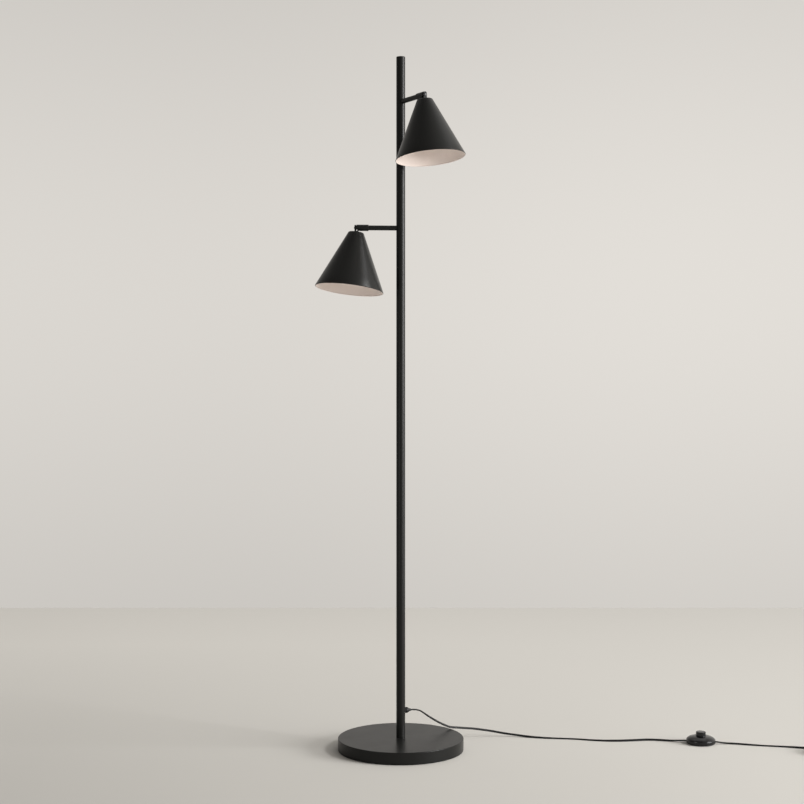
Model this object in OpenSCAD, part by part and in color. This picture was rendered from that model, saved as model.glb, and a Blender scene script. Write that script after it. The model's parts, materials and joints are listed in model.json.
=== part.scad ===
// Floor lamp. A slim pole on a heavy round base carries two short fixed arms, and a cone shade
// swivels about each arm's own axis. A flat lead leaves the foot of the pole, passes a foot switch
// and ends in a two-pin plug. Millimetres, +Z up, origin on the floor under the pole's axis.

/* [Base] */
// Diameter of the base
base_d = 280; // [250:5:320]
// Height of the base's top above the floor
base_h = 27; // [26:1:32]
// Sheet thickness of the pressed base cover
cover_t = 1.2; // [0.8:0.1:1.5]

/* [Pole] */
// Height of the whole lamp
lamp_h = 1545; // [1500:5:1700]
// Outer diameter of the pole
pole_d = 20; // [20:0.5:22]
// Wall thickness of the pole's tubes
pole_wall = 1.5; // [1.2:0.1:1.5]
// Height of the closed joint between the pole's two tubes
pole_joint_z = 785; // [500:5:1000]

/* [Arms] */
// Height of the lower arm's axis
lower_arm_z = 1163; // [1050:1:1250]
// Direction of the lower arm round the pole, in degrees
lower_arm_turn = 183.5; // [120:0.5:240]
// Height of the upper arm's axis
upper_arm_z = 1444.5; // [1400:0.5:1470]
// Direction of the upper arm round the pole, in degrees
upper_arm_turn = -58.7; // [-90:0.1:50]
// Distance from the pole's axis to the end face of an arm's sleeve
arm_reach = 98.8; // [95:0.2:140]
// Outer diameter of an arm's tube
arm_d = 11; // [10:0.5:11]
// Outer diameter of the sleeve on an arm's end
sleeve_d = 14.2; // [14:0.1:15]
// Length of that sleeve
sleeve_l = 26.8; // [26:0.2:40]

/* [Shades] */
// Diameter of a shade's flat top
shade_top_d = 34; // [32:1:44]
// Diameter of a shade's mouth
shade_mouth_d = 153.4; // [130:0.2:180]
// Height of a shade
shade_h = 129.4; // [125:0.2:170]
// Sheet thickness of a shade
shade_t = 1; // [0.8:0.1:1.2]
// Angle by which a shade leans away from the pole
shade_lean = 7; // [0:0.5:10]
// Angle by which the lower shade is swung about its arm
lower_swing = 5.5; // [-20:0.1:20]
// Angle by which the upper shade is swung about its arm
upper_swing = 2.3; // [-20:0.1:20]

/* [Foot switch] */
// Diameter of the foot switch
switch_d = 65.4; // [64:0.2:72]
// Height of the switch's housing
switch_h = 18.2; // [18:0.1:20]
// Height of the top of the switch's button
button_top = 27; // [25:0.5:29]
// How far the button travels
button_travel = 3.5; // [2:0.1:3.5]

/* [Lead] */
// Width of the flat lead
cord_w = 5; // [4.6:0.1:5.2]
// Thickness of the flat lead
cord_t = 3; // [2.8:0.1:3.2]

/* [Hidden] */
$fn = 96;

// Finishes
BLACK = [0.11, 0.11, 0.115];
STEEL = [0.62, 0.63, 0.65];
GREY = [0.3, 0.3, 0.31];
BRASS = [0.78, 0.62, 0.32];
PLASTIC = [0.06, 0.06, 0.065];
PALE = [0.9, 0.89, 0.86];

// Base
pad_t = 2;
cover_gap = 0.8;            // the cover's rim hangs this far above the floor
cover_edge_r = 1.6;
base_r = base_d / 2;
pad_r = base_r - cover_t - 1;
weight_r = base_r - cover_t - 0.6;
weight_web = 10;            // thickness of the casting between its ribs
weight_top = base_h - cover_t;
web_z = weight_top - weight_web;
weight_rim = 14;
hub_r = [16, 24];
rib_count = 6;
rib_w = 8;
bolt_r = 5;
bolt_hole_r = bolt_r + 0.2;
bolt_head_h = 6.4;
bolt_head_r = 9.8;          // to its corners
bolt_l = 35;
washer_t = 2;
washer_r = 14;

// Pole
pole_r = pole_d / 2;
bore_r = pole_r - pole_wall;
plug_r = bore_r - 0.05;     // what is pressed into the pole's tubes
foot_l = 25;
coupler_l = 50;
coupler_bore = 6;
coupler_edge = 0.6;
cap_t = 2;
cap_wall = 2;
cap_skirt = 12;
cap_edge_r = 1;
gland_z = 87;
gland_turn = 16;
gland_hole_r = 4.2;
gland_neck_r = gland_hole_r - 0.1;
gland_bore_r = 2.6;
gland_flange_r = 6.2;
gland_collar_r = 5.4;
gland_tip_r = 2.95;
gland_start = 6.6;          // these are measured out from the pole's axis
gland_seat = 9;
gland_flange = 10.9;
gland_collar = 15.5;
gland_cone = 20.2;
gland_end = 23;
entry_r = 2.4;
entry_bend = 5.5;

// Leads inside the pole and arms
lead_r = 1.5;
lead_x = 1.8;               // each lead stands this far off the pole's axis, towards its own arm
lead_bend = 4.5;
connector_z = 100;
connector_l = 24;
connector_r = 6.5;

// Arms
arm_r = arm_d / 2;
arm_bore_r = arm_r - 1.3;
arm_hole_start = 5;         // the holes in the poles' front walls start inside their bores
anchor_l = 26;
anchor_seat = 4.5;          // an arm's inner end stands this far from the pole's axis
channel_r = 3.5;
sleeve_r = sleeve_d / 2;
sleeve_start = arm_reach - sleeve_l;
socket_l = 12;              // how far the arm's tube goes into the sleeve
lead_corner = arm_reach - 12.8;
lead_dip = 34;              // the lead turns down through the sleeve at this angle
channel_end = 10.4;         // the lead comes out this far below the corner where it turns down
sleeve_channel_r = 3;
screw_hole_l = 5.5;
relief_l = 7.3;             // length of the slanting cut under the sleeve's end
relief_rise = 26.9;

// Swivel: a tongue held against the sleeve's end by a screw on the arm's own axis
friction_t = 0.75;
friction_r = 5;
tongue_gap = 0.05;
tongue_t = 3.6;
tongue_w = 7.6;
tongue_corner_r = 5.2;      // its outer corners are turned to this radius about the neck's axis
tongue_u = arm_reach + friction_t + tongue_gap;
neck_r = 4.8;
neck_u = arm_reach + 0.7;   // the shade's axis crosses its top this far from the pole's axis
neck_drop = 10.8;           // and this far below the arm's axis
neck_clear = 7.6;           // the neck's inner half stops this far below the arm's axis
tongue_round = 2.8;         // centre of the tongue's round top, above the arm's axis
swivel_screw_r = 1.5;
swivel_screw_l = 9.6;
screw_head_r = 2.85;
screw_head_h = 1;
screw_socket_r = 1;
nipple_r = 4;
nipple_l = 16;
nipple_bore_r = 2.6;
cutter = 40;                // edge of the blocks that only cut or keep

// Shade, lampholder and bulb, measured down from the shade's top
top_r = shade_top_d / 2;
mouth_r = shade_mouth_d / 2;
shade_slope = atan((mouth_r - top_r) / shade_h);
shade_edge_r = 2.5;
bead_r = 0.9;
bead_wrap = 200;            // how far the mouth's rolled bead goes round, in degrees
nut_t = 4;
nut_r = 7.5;                // to its corners
nut_flange_r = 8;
nut_flange_t = 1;
holder_top = 7;
holder_r = 13.5;
holder_wall = 1.6;
holder_dome_r = 7;
holder_boss_r = 6.2;
holder_seam = 22;
holder_mouth = 46;
shell_r = 7.6;
shell_t = 0.6;
shell_hole_r = 4.5;
contact_r = 2.2;
shell_top = 30.6;
terminal_floor = 26;
bulb_cap_r = 6.9;
bulb_contact = 32;
bulb_neck = 47;
bulb_tip = [2, 2.6, 1];      // the cap's contact: radius of its top, radius of its foot, height
bulb_glass = [5.6, 1.5];    // the glass round it: radius of its foot, height
bulb_skirt = [0.6, 3];      // the cap's lower edge: how far it stands out, height
globe_r = 22.5;
globe_z = 82.5;
globe_t = 0.8;
globe_neck_r = 8;
globe_fillet = 12;
fillet_z = globe_z - sqrt(pow(globe_r + globe_fillet, 2) - pow(globe_neck_r + globe_fillet, 2));
fillet_a = atan2(globe_z - fillet_z, globe_neck_r + globe_fillet);

// Foot switch
switch_at = [680.5, 54];
switch_turn = -10;
switch_r = switch_d / 2;
switch_wall = 1.8;
switch_foot_r = 4;          // radius of the housing's lower edge
seam_z = 4.6;
shoulder_z = 8;             // the dome starts to curve in here
dome_centre = 8;
cord_z = 5;                 // height of the lead's middle where it enters the switch
cord_slot = [cord_w + 0.6, cord_t + 0.4];
button_r = 11;
button_gap = 0.3;
collar_t = 1.3;             // wall of the collar that guides the button
button_edge_r = 1.3;
button_wall = 1.8;
button_flange_r = 12.4;
button_foot = 11;
flange_t = 1.45;
guide_z = button_foot + flange_t + 0.05;
block_l = 18;
block_w = 12;
block_z = button_foot - button_travel - 0.5;     // the pressed button stops just above this
block_top = 12;
block_seat_r = 7;
block_pin_r = 3;            // the pin inside the spring's first turns
block_pin_l = 3;
post_r = 2.2;
cord_rest = [2, 5.2];       // length and width of the ribs that the lead lies on
clamp_x = 20;
clamp_y = 5.5;
clamp_t = 1.6;
clamp_w = 4.4;
clamp_l = 16;
clamp_head_r = 2;
clamp_head_h = 1.2;
clamp_screw_r = 1.1;
clamp_screw_l = 5;
boss_at = 24;
boss_r = 3;
boss_top = 14.2;
floor_t = 2;                // thickness of the housing's floor
cover_screw_r = 1.3;
cover_screw_l = 8;
screw_recess_r = 3;
screw_recess_h = 1;
spring_r = 4.6;
spring_wire = 0.5;

// Lead: each point is [x, y, height of its underside, roll], and roll 0 lies flat
lamp_route = [
    [22.11, 6.34, 85.5, 0], [25.95, 7.44, 85.5, 0], [34, 12.3, 84.2, 5], [44, 23, 79, 20], [56, 36, 68, 40],
    [70, 49, 56, 55], [85, 62, 44.5, 60], [100, 73, 35, 60], [113, 82.5, 28.2, 60],
    [128, 91, 25, 60], [145, 99, 22, 60], [165, 107, 18.8, 60], [187, 113.5, 14.8, 60],
    [210, 117.5, 10.6, 60], [238, 118.5, 5.4, 60], [269, 115, 1.8, 55], [300, 106, 0.2, 40],
    [335, 98, 0, 15], [370, 93.5, 0, 0], [405, 88, 0, 0], [435, 78.5, 0, 10], [465, 71.5, 0, 30],
    [495, 69.5, 0, 60], [530, 73.5, 0, 70], [562, 79, 0, 70], [590, 76.5, 0, 50], [615, 70.5, 0.6, 20],
    [635, 64.5, 2.4, 0], [648.5, 60, 3.5, 0], [660, 57.6, 3.5, 0], [671.6, 55.6, 3.5, 0]
];
plug_route = [
    [689.4, 52.4, 3.5, 0], [701, 50.4, 3.5, 0], [712.5, 48.4, 3.5, 0], [724, 47, 2.4, 0],
    [738, 47, 0.6, 10], [755, 44.5, 0, 20], [775, 38.5, 0, 20], [796, 32, 0, 10], [825, 25.5, 0, 0],
    [853, 19.5, 0, 5], [880, 11.5, 0, 25], [902, 4, 0.1, 50], [920, -1.5, 0.5, 75], [935, -4, 0.9, 90]
];
tail_route = [
    [963.23, -20.3, 6.1, 90], [967.7, -28.1, 6, 75], [972.2, -35.9, 5.8, 50], [976.7, -43.8, 5.55, 25],
    [980.6, -51, 5.4, 8], [982.7, -57.2, 5.35, 0], [983, -62, 5.35, 0]
];
cord_corner = [0.8, 0.9];   // the flat sides and the edges of the lead stop this far from its corners
ring_step = 12.5;           // a ring of the lead's tube every two and a half widths
coil_at = [935, -36.6];
coil_r = [24.5, 34.3];
coil_z = [0.8, 11.2];
coil_corner = 1.6;
tie_t = 0.8;
tie_angle = 16;
plug_at = [983, -62];
plug_turn = -90;
plug_axis_z = 6.85;
relief_end = 22;
relief_r = [3.2, 5.2];
groove_t = 1.5;
groove_step = 3.6;
groove_count = 5;
groove_rise = 0.3;          // each groove's floor is this much wider than the last one's
plug_l = 37;
plug_taper_l = 14;          // from the relief to the plug's widest place
plug_back = [7, 5, 5.5];    // half widths across the points and the flats, and half height
plug_waist = [17.6, 13];
plug_front = [17, 12.6];
plug_side = 0.16;           // half height of the blunt side edges, as a share of the plug's
pin_gap = 18;
pin_l = 19;
pin_r = 2;
pin_core_r = 1.3;
pin_sleeve_r = 1.8;
pin_sleeve_l = 10;

// ---- helpers ----

// points on an arc
function arc(cx, cy, r, a0, a1, n = 6) =
    [for (i = [0:n]) let (a = a0 + (a1 - a0) * i / n) [cx + r * cos(a), cy + r * sin(a)]];

function unit(v) = v / norm(v);

// one point between b and c of a smooth curve through a, b, c and d
function blend(a, b, c, d, t) =
    0.5 * (2 * b + (c - a) * t + (2 * a - 5 * b + 4 * c - d) * t * t + (3 * b - a - 3 * c + d) * t * t * t);

// the route with points ring_step apart, on a smooth curve through its own points
function smooth_route(route) = concat(
    [for (i = [0:len(route) - 2])
        let (a = route[max(i - 1, 0)], b = route[i], c = route[i + 1], d = route[min(i + 2, len(route) - 1)],
             n = max(1, round(norm([c.x - b.x, c.y - b.y, c.z - b.z]) / ring_step)))
        for (k = [0:n - 1]) blend(a, b, c, d, k / n)],
    [route[len(route) - 1]]);

// how far the lead's middle stands above its underside at a roll
function half_height(roll) = cord_t / 2 + (cord_w - cord_t) / 2 * abs(sin(roll));

function cord_middle(p) = [p.x, p.y, max(0, p.z) + half_height(p[3])];

// the lead's flat outline
cord_outline = [for (s = [[1, 1], [-1, 1], [-1, -1], [1, -1]], k = s.x * s.y > 0 ? [0, 1] : [1, 0])
    [s.x * (cord_w / 2 - (k == 0 ? 0 : cord_corner[0])), s.y * (cord_t / 2 - (k == 0 ? cord_corner[1] : 0))]];

function cord_ring(rings, i) =
    let (mid = [for (r = rings) cord_middle(r)],
         along = unit(mid[min(i + 1, len(mid) - 1)] - mid[max(i - 1, 0)]),
         side = unit(cross([0, 0, 1], along)),
         up = cross(along, side),
         roll = rings[i][3])
    [for (q = cord_outline)
        mid[i] + side * (q.x * cos(roll) - q.y * sin(roll)) + up * (q.x * sin(roll) + q.y * cos(roll))];

// a closed tube through rings of points
module swept(rings) {
    m = len(rings[0]);
    last = (len(rings) - 1) * m;
    walls = [for (i = [0:len(rings) - 2], k = [0:m - 1]) let (a = i * m + k, b = i * m + (k + 1) % m)
        each [[a, a + m, b + m], [a, b + m, b]]];
    ends = [[for (k = [0:m - 1]) k], [for (k = [m - 1:-1:0]) last + k]];
    polyhedron([for (r = rings) each r], concat(walls, ends), convexity = 12);
}

// the flat lead along a route
module cord_tube(route) {
    points = smooth_route(route);
    swept([for (i = [0:len(points) - 1]) cord_ring(points, i)]);
}

// a straight rod or hole along X
module rod_x(r, x0, x1) translate([x0, 0, 0]) rotate([0, 90, 0]) cylinder(r = r, h = x1 - x0);

// a turned solid along X, from [x, r] points
module turned_x(points) rotate([0, 90, 0]) rotate_extrude() polygon([for (p = points) [p.y, p.x]]);

// a ring between two radii and two heights
module ring(r_in, r_out, z0, z1) translate([0, 0, z0]) difference() {
    cylinder(r = r_out, h = z1 - z0);
    translate([0, 0, -1]) cylinder(r = r_in, h = z1 - z0 + 2);
}

// the frame of an arm: X along it from the pole's axis
module on_arm(height, turn) translate([0, 0, height]) rotate([0, 0, turn]) children();
module on_lower_arm() on_arm(lower_arm_z, lower_arm_turn) children();
module on_upper_arm() on_arm(upper_arm_z, upper_arm_turn) children();

// the frame of a swung head, and of its shade: origin at the middle of the shade's top, Z along its axis
module on_shade() translate([neck_u, 0, -neck_drop]) rotate([0, -shade_lean, 0]) children();
module lower_head() on_lower_arm() rotate([lower_swing, 0, 0]) children();
module upper_head() on_upper_arm() rotate([upper_swing, 0, 0]) children();

// ---- base ----

module floor_pad() color(PLASTIC) rotate_extrude() polygon(concat(
    [[0, 0], [pad_r - 0.5, 0], [pad_r, 0.5], [pad_r, pad_t], [0, pad_t]]));

module base_weight() color(GREY) difference() {
    union() {
        rotate_extrude() polygon([
            [0, web_z], [weight_r - weight_rim, web_z], [weight_r - weight_rim + 1, pad_t],
            [weight_r - 1, pad_t], [weight_r, web_z], [weight_r, weight_top - 1],
            [weight_r - 1, weight_top], [0, weight_top]]);
        ring(hub_r[0], hub_r[1], pad_t, web_z + 1);
        for (i = [0:rib_count - 1]) rotate([0, 0, (i + 0.5) * 360 / rib_count])
            translate([hub_r[1] - 1, -rib_w / 2, pad_t])
                cube([weight_r - weight_rim + 2 - hub_r[1], rib_w, web_z + 1 - pad_t]);
    }
    cylinder(r = bolt_hole_r, h = base_h);
}

module base_cover() color(BLACK) rotate_extrude() polygon(concat(
    [[bolt_hole_r, base_h]],
    arc(base_r - cover_edge_r, base_h - cover_edge_r, cover_edge_r, 90, 0, 4),
    [[base_r, cover_gap], [base_r - cover_t, cover_gap]],
    arc(base_r - cover_edge_r, base_h - cover_edge_r, cover_edge_r - cover_t, 0, 90, 2),
    [[bolt_hole_r, base_h - cover_t]]));

module base_washer() color(STEEL) ring(bolt_hole_r, washer_r, web_z - washer_t, web_z);

module base_bolt() color(STEEL) translate([0, 0, web_z - washer_t]) {
    translate([0, 0, -bolt_head_h]) cylinder(r = bolt_head_r, h = bolt_head_h, $fn = 6);
    cylinder(r = bolt_r, h = bolt_l);
}

// ---- pole ----

module pole_tube(z0, z1) ring(bore_r, pole_r, z0, z1);

module pole_foot() color(STEEL) difference() {
    translate([0, 0, base_h]) cylinder(r = plug_r, h = foot_l);
    translate([0, 0, base_h - 1]) cylinder(r = bolt_r, h = foot_l - 1);
}

module lower_pole() color(BLACK) difference() {
    pole_tube(base_h, pole_joint_z);
    on_arm(gland_z, gland_turn) rod_x(gland_hole_r, arm_hole_start, pole_r + 2);
}

module pole_coupler() color(STEEL) translate([0, 0, pole_joint_z - coupler_l / 2]) rotate_extrude() polygon([
    [coupler_bore, 0], [plug_r - coupler_edge, 0], [plug_r, coupler_edge],
    [plug_r, coupler_l - coupler_edge], [plug_r - coupler_edge, coupler_l], [coupler_bore, coupler_l]]);

module upper_pole() color(BLACK) difference() {
    pole_tube(pole_joint_z, lamp_h - cap_t);
    on_lower_arm() rod_x(arm_r, arm_hole_start, pole_r + 2);
    on_upper_arm() rod_x(arm_r, arm_hole_start, pole_r + 2);
}

module pole_cap() color(BLACK) translate([0, 0, lamp_h - cap_t]) rotate_extrude() polygon(concat(
    [[0, 0], [bore_r - cap_wall, 0], [bore_r - cap_wall, -cap_skirt], [plug_r, -cap_skirt],
        [plug_r, 0], [pole_r, 0]],
    arc(pole_r - cap_edge_r, cap_t - cap_edge_r, cap_edge_r, 0, 90, 4), [[0, cap_t]]));

// a grommet whose flange is hollowed out to sit on the round pole
module cord_gland() color(PLASTIC) on_arm(gland_z, gland_turn) difference() {
    turned_x(concat(
        [[gland_start, gland_bore_r], [gland_start, gland_neck_r], [gland_seat - 1, gland_neck_r],
            [gland_seat - 1, gland_flange_r], [gland_flange, gland_flange_r],
            [gland_flange + 0.5, gland_collar_r], [gland_collar, gland_collar_r]],
        arc(gland_collar, gland_bore_r, gland_collar_r - gland_bore_r, 90, 25, 4),
        [[gland_cone, gland_tip_r + 0.25], [gland_end, gland_tip_r], [gland_end, gland_bore_r]]));
    intersection() {
        translate([0, 0, -pole_r]) cylinder(r = pole_r, h = 2 * pole_r);
        difference() {
            rod_x(gland_seat, 0, pole_r + 2);
            rod_x(gland_neck_r, -1, pole_r + 3);
        }
    }
}

module entry_lead() color(PLASTIC) on_arm(gland_z, gland_turn) {
    rod_x(entry_r, entry_bend, gland_end);
    translate([entry_bend, 0, entry_bend]) rotate([90, 0, 0]) rotate([0, 0, 180])
        rotate_extrude(angle = 90) translate([entry_bend, 0]) circle(r = entry_r);
    translate([0, 0, entry_bend]) cylinder(r = entry_r, h = connector_z - gland_z - entry_bend);
}

module lead_connector() color(PALE) translate([0, 0, connector_z]) rotate_extrude() polygon([
    [0, 0], [connector_r - 1, 0], [connector_r, 1], [connector_r, connector_l - 1],
    [connector_r - 1, connector_l], [0, connector_l]]);

// ---- arms ----

module arm_anchor() color(STEEL) difference() {
    translate([0, 0, -anchor_l / 2]) cylinder(r = plug_r, h = anchor_l);
    translate([0, 0, -anchor_l]) cylinder(r = channel_r, h = 2 * anchor_l);
    rod_x(channel_r + 0.1, 0, anchor_seat + 1);
    rod_x(arm_r, anchor_seat, pole_r + 1);
}

module arm_tube() color(BLACK) difference() {
    rod_x(arm_r, anchor_seat, sleeve_start + socket_l);
    rod_x(arm_bore_r, 0, arm_reach);
}

module arm_sleeve() color(BLACK) difference() {
    turned_x([[sleeve_start, 0], [sleeve_start, sleeve_r - 0.5], [sleeve_start + 0.5, sleeve_r],
        [arm_reach - 0.3, sleeve_r], [arm_reach, sleeve_r - 0.3], [arm_reach, 0]]);
    rod_x(arm_r, sleeve_start - 1, sleeve_start + socket_l);
    rod_x(sleeve_channel_r, sleeve_start + socket_l - 1, lead_corner + 2);
    translate([lead_corner, 0, 0]) rotate([0, 90 + lead_dip, 0])
        cylinder(r = lead_r + 0.4, h = channel_end + sleeve_r);
    rod_x(swivel_screw_r, arm_reach - screw_hole_l, arm_reach + 1);
    translate([arm_reach - relief_l, 0, -sleeve_r]) rotate([0, -relief_rise, 0])
        translate([sleeve_r, 0, -sleeve_r]) cube([4, 3, 2] * sleeve_r, center = true);
}

// a lead from the connector up the pole, along the arm and out under the sleeve's end
module arm_lead(arm_z) color(PLASTIC) {
    rise = arm_z - lead_bend - connector_z - connector_l;
    translate([lead_x, 0, -lead_bend - rise]) cylinder(r = lead_r, h = rise);
    translate([lead_x + lead_bend, 0, -lead_bend]) rotate([90, 0, 0]) rotate([0, 0, 90])
        rotate_extrude(angle = 90) translate([lead_bend, 0]) circle(r = lead_r);
    rod_x(lead_r, lead_x + lead_bend, lead_corner);
    translate([lead_corner, 0, 0]) sphere(r = lead_r);
    translate([lead_corner, 0, 0]) rotate([0, 90 + lead_dip, 0]) cylinder(r = lead_r, h = channel_end);
}

// ---- swivels ----

module friction_washer() color(GREY) difference() {
    rod_x(friction_r, arm_reach, arm_reach + friction_t);
    rod_x(swivel_screw_r + 0.1, arm_reach - 1, arm_reach + 2);
}

module swivel_screw() color(BLACK) difference() {
    head_u = tongue_u + tongue_t + tongue_gap;
    tip_u = head_u - swivel_screw_l;
    round_h = 0.85 * screw_head_h;
    round_r = 0.58 * screw_head_r;
    turned_x(concat(
        [[tip_u, 0], [tip_u, swivel_screw_r - 0.3], [tip_u + 0.3, swivel_screw_r],
            [head_u, swivel_screw_r], [head_u, screw_head_r]],
        [for (a = [0:30:90])
            [head_u + screw_head_h + round_h * (sin(a) - 1), screw_head_r + round_r * (cos(a) - 1)]],
        [[head_u + screw_head_h, 0]]));
    translate([head_u + 0.4, 0, 0]) rotate([0, 90, 0]) cylinder(r = screw_socket_r, h = 2, $fn = 6);
}

module both_arms() {
    on_lower_arm() children();
    on_upper_arm() children();
}

module swivel() color(BLACK) difference() {
    union() {
        difference() {
            union() {
                intersection() {
                    translate([tongue_u, 0, 0]) rotate([90, 0, 90]) linear_extrude(tongue_t) {
                        translate([-tongue_w / 2, -cutter / 2]) square([tongue_w, cutter / 2 + tongue_round]);
                        translate([0, tongue_round]) circle(d = tongue_w);
                    }
                    translate([neck_u, 0, -cutter / 2]) cylinder(r = tongue_corner_r, h = cutter);
                }
                intersection() {
                    on_shade() cylinder(r = neck_r, h = neck_drop);
                    translate([neck_u, 0, -neck_clear - cutter / 2]) cube(cutter, center = true);
                }
            }
            on_shade() translate([0, 0, -cutter / 2]) cube(cutter, center = true);
        }
        on_shade() translate([0, 0, -nipple_l]) cylinder(r = nipple_r, h = nipple_l + 1);
    }
    intersection() {
        on_shade() translate([0, 0, -nipple_l - 1]) cylinder(r = nipple_bore_r, h = nipple_l + neck_drop);
        translate([neck_u, 0, 0.4 - neck_clear - cutter / 2]) cube(cutter, center = true);
    }
    rod_x(swivel_screw_r + 0.05, arm_reach, arm_reach + neck_drop);
}

// ---- shades, lampholders and bulbs, in the shade's frame ----

module shade() color(BLACK) on_shade() rotate_extrude() {
    edge_x = top_r - shade_edge_r * (1 - sin(shade_slope)) / cos(shade_slope);
    out = [cos(shade_slope), sin(shade_slope)];
    down = [sin(shade_slope), -cos(shade_slope)];
    mouth = [mouth_r, -shade_h] - down * bead_r;
    bead = mouth - out * bead_r;
    polygon(concat(
        [[nipple_r + 0.1, 0]],
        arc(edge_x, -shade_edge_r, shade_edge_r, 90, shade_slope, 4),
        arc(bead.x, bead.y, bead_r, shade_slope, shade_slope - bead_wrap, 8),
        [mouth - out * shade_t - down * 2 * bead_r],
        arc(edge_x, -shade_edge_r, shade_edge_r - shade_t, shade_slope, 90, 4),
        [[nipple_r + 0.1, -shade_t]]));
}

module locknut() color(STEEL) on_shade() {
    flange_z = -shade_t - nut_flange_t;
    ring(nipple_r + 0.1, nut_flange_r, flange_z, -shade_t);
    difference() {
        translate([0, 0, flange_z - nut_t]) cylinder(r = nut_r, h = nut_t, $fn = 6);
        translate([0, 0, -nipple_l]) cylinder(r = nipple_r, h = nipple_l);
    }
}

module holder_cap() color(PLASTIC) on_shade() rotate_extrude() polygon(concat(
    [[nipple_r, -holder_top]],
    arc(holder_r - holder_dome_r, -holder_top - holder_dome_r, holder_dome_r, 90, 0),
    [[holder_r, -holder_seam], [holder_r - holder_wall, -holder_seam]],
    arc(holder_r - holder_dome_r, -holder_top - holder_dome_r, holder_dome_r - holder_wall, 0, 90),
    [[holder_boss_r, -holder_top - holder_wall], [holder_boss_r, -nipple_l], [nipple_r, -nipple_l]]));

module holder_body() color(PLASTIC) on_shade() rotate_extrude() polygon([
    [contact_r, -terminal_floor], [holder_r - holder_wall, -terminal_floor],
    [holder_r - holder_wall, -holder_seam], [holder_r, -holder_seam], [holder_r, -holder_mouth + 1],
    [holder_r - 1, -holder_mouth], [shell_r, -holder_mouth], [shell_r, -shell_top],
    [contact_r, -shell_top]]);

module contacts() color(BRASS) on_shade() {
    rotate_extrude() polygon([
        [shell_hole_r, -shell_top], [shell_r, -shell_top], [shell_r, -holder_mouth + 2],
        [shell_r - shell_t, -holder_mouth + 2], [shell_r - shell_t, -shell_top - shell_t],
        [shell_hole_r, -shell_top - shell_t]]);
    translate([0, 0, -bulb_contact]) cylinder(r = contact_r, h = bulb_contact - terminal_floor);
}

module bulb_cap() color(BRASS) on_shade() rotate_extrude() polygon([
    [0, -bulb_contact], [bulb_tip[0], -bulb_contact], [bulb_tip[1], -bulb_contact - bulb_tip[2]],
    [bulb_glass[0], -bulb_contact - bulb_tip[2] - bulb_glass[1]],
    [bulb_cap_r, -bulb_contact - bulb_tip[2] - bulb_glass[1] - 1], [bulb_cap_r, -bulb_neck + 1],
    [globe_neck_r + bulb_skirt[0], -bulb_neck], [globe_neck_r + bulb_skirt[0], -bulb_neck - bulb_skirt[1]],
    [globe_neck_r, -bulb_neck - bulb_skirt[1]], [globe_neck_r, -bulb_neck], [0, -bulb_neck]]);

module bulb_globe() color(PALE) on_shade() rotate_extrude() polygon(concat(
    [[globe_neck_r, -bulb_neck]],
    arc(globe_neck_r + globe_fillet, -fillet_z, globe_fillet, 180, 180 + fillet_a),
    arc(0, -globe_z, globe_r, fillet_a - 6, -90, 16),
    arc(0, -globe_z, globe_r - globe_t, -90, fillet_a - 6, 16),
    arc(globe_neck_r + globe_fillet, -fillet_z, globe_fillet + globe_t, 180 + fillet_a, 180),
    [[globe_neck_r - globe_t, -bulb_neck]]));

module shade_lead() color(PLASTIC) on_shade()
    translate([0, 0, -terminal_floor]) cylinder(r = lead_r, h = terminal_floor + 2.4);

// ---- foot switch, in its own frame: X along the lead, Z = 0 on the floor ----

module on_switch() translate([switch_at.x, switch_at.y, 0]) rotate([0, 0, switch_turn]) children();

// where the three screws of the housing stand
module at_bosses() for (a = [90, 210, 330]) rotate([0, 0, a]) translate([boss_at, 0, 0]) children();

// where the posts of the two cord clamps stand
module at_posts() for (x = [-clamp_x, clamp_x], y = [-clamp_y, clamp_y]) translate([x, y, 0]) children();

module cord_slots() translate([-switch_r - 1, -cord_slot.x / 2, cord_z - cord_slot.y / 2])
    cube([2 * switch_r + 2, cord_slot.x, cord_slot.y]);

module switch_base() color(PLASTIC) on_switch() {
    difference() {
        rotate_extrude() polygon(concat(
            [[0, 0]],
            arc(switch_r - switch_foot_r, switch_foot_r, switch_foot_r, -90, 0, 5),
            [[switch_r, seam_z], [switch_r - floor_t, seam_z]],
            arc(switch_r - switch_foot_r, switch_foot_r, switch_foot_r - floor_t, 0, -90, 5),
            [[0, floor_t]]));
        cord_slots();
        at_bosses() translate([0, 0, -1]) cylinder(r = cover_screw_r + 0.3, h = floor_t + 2);
        at_bosses() translate([0, 0, -1]) cylinder(r = screw_recess_r, h = 1 + screw_recess_h);
    }
    at_posts() ring(clamp_screw_r, post_r, floor_t, cord_z + cord_t / 2);
    for (x = [-clamp_x, clamp_x]) translate([x - cord_rest.x / 2, -cord_rest.y / 2, floor_t])
        cube([cord_rest.x, cord_rest.y, cord_z - cord_t / 2 - floor_t]);
}

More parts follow.
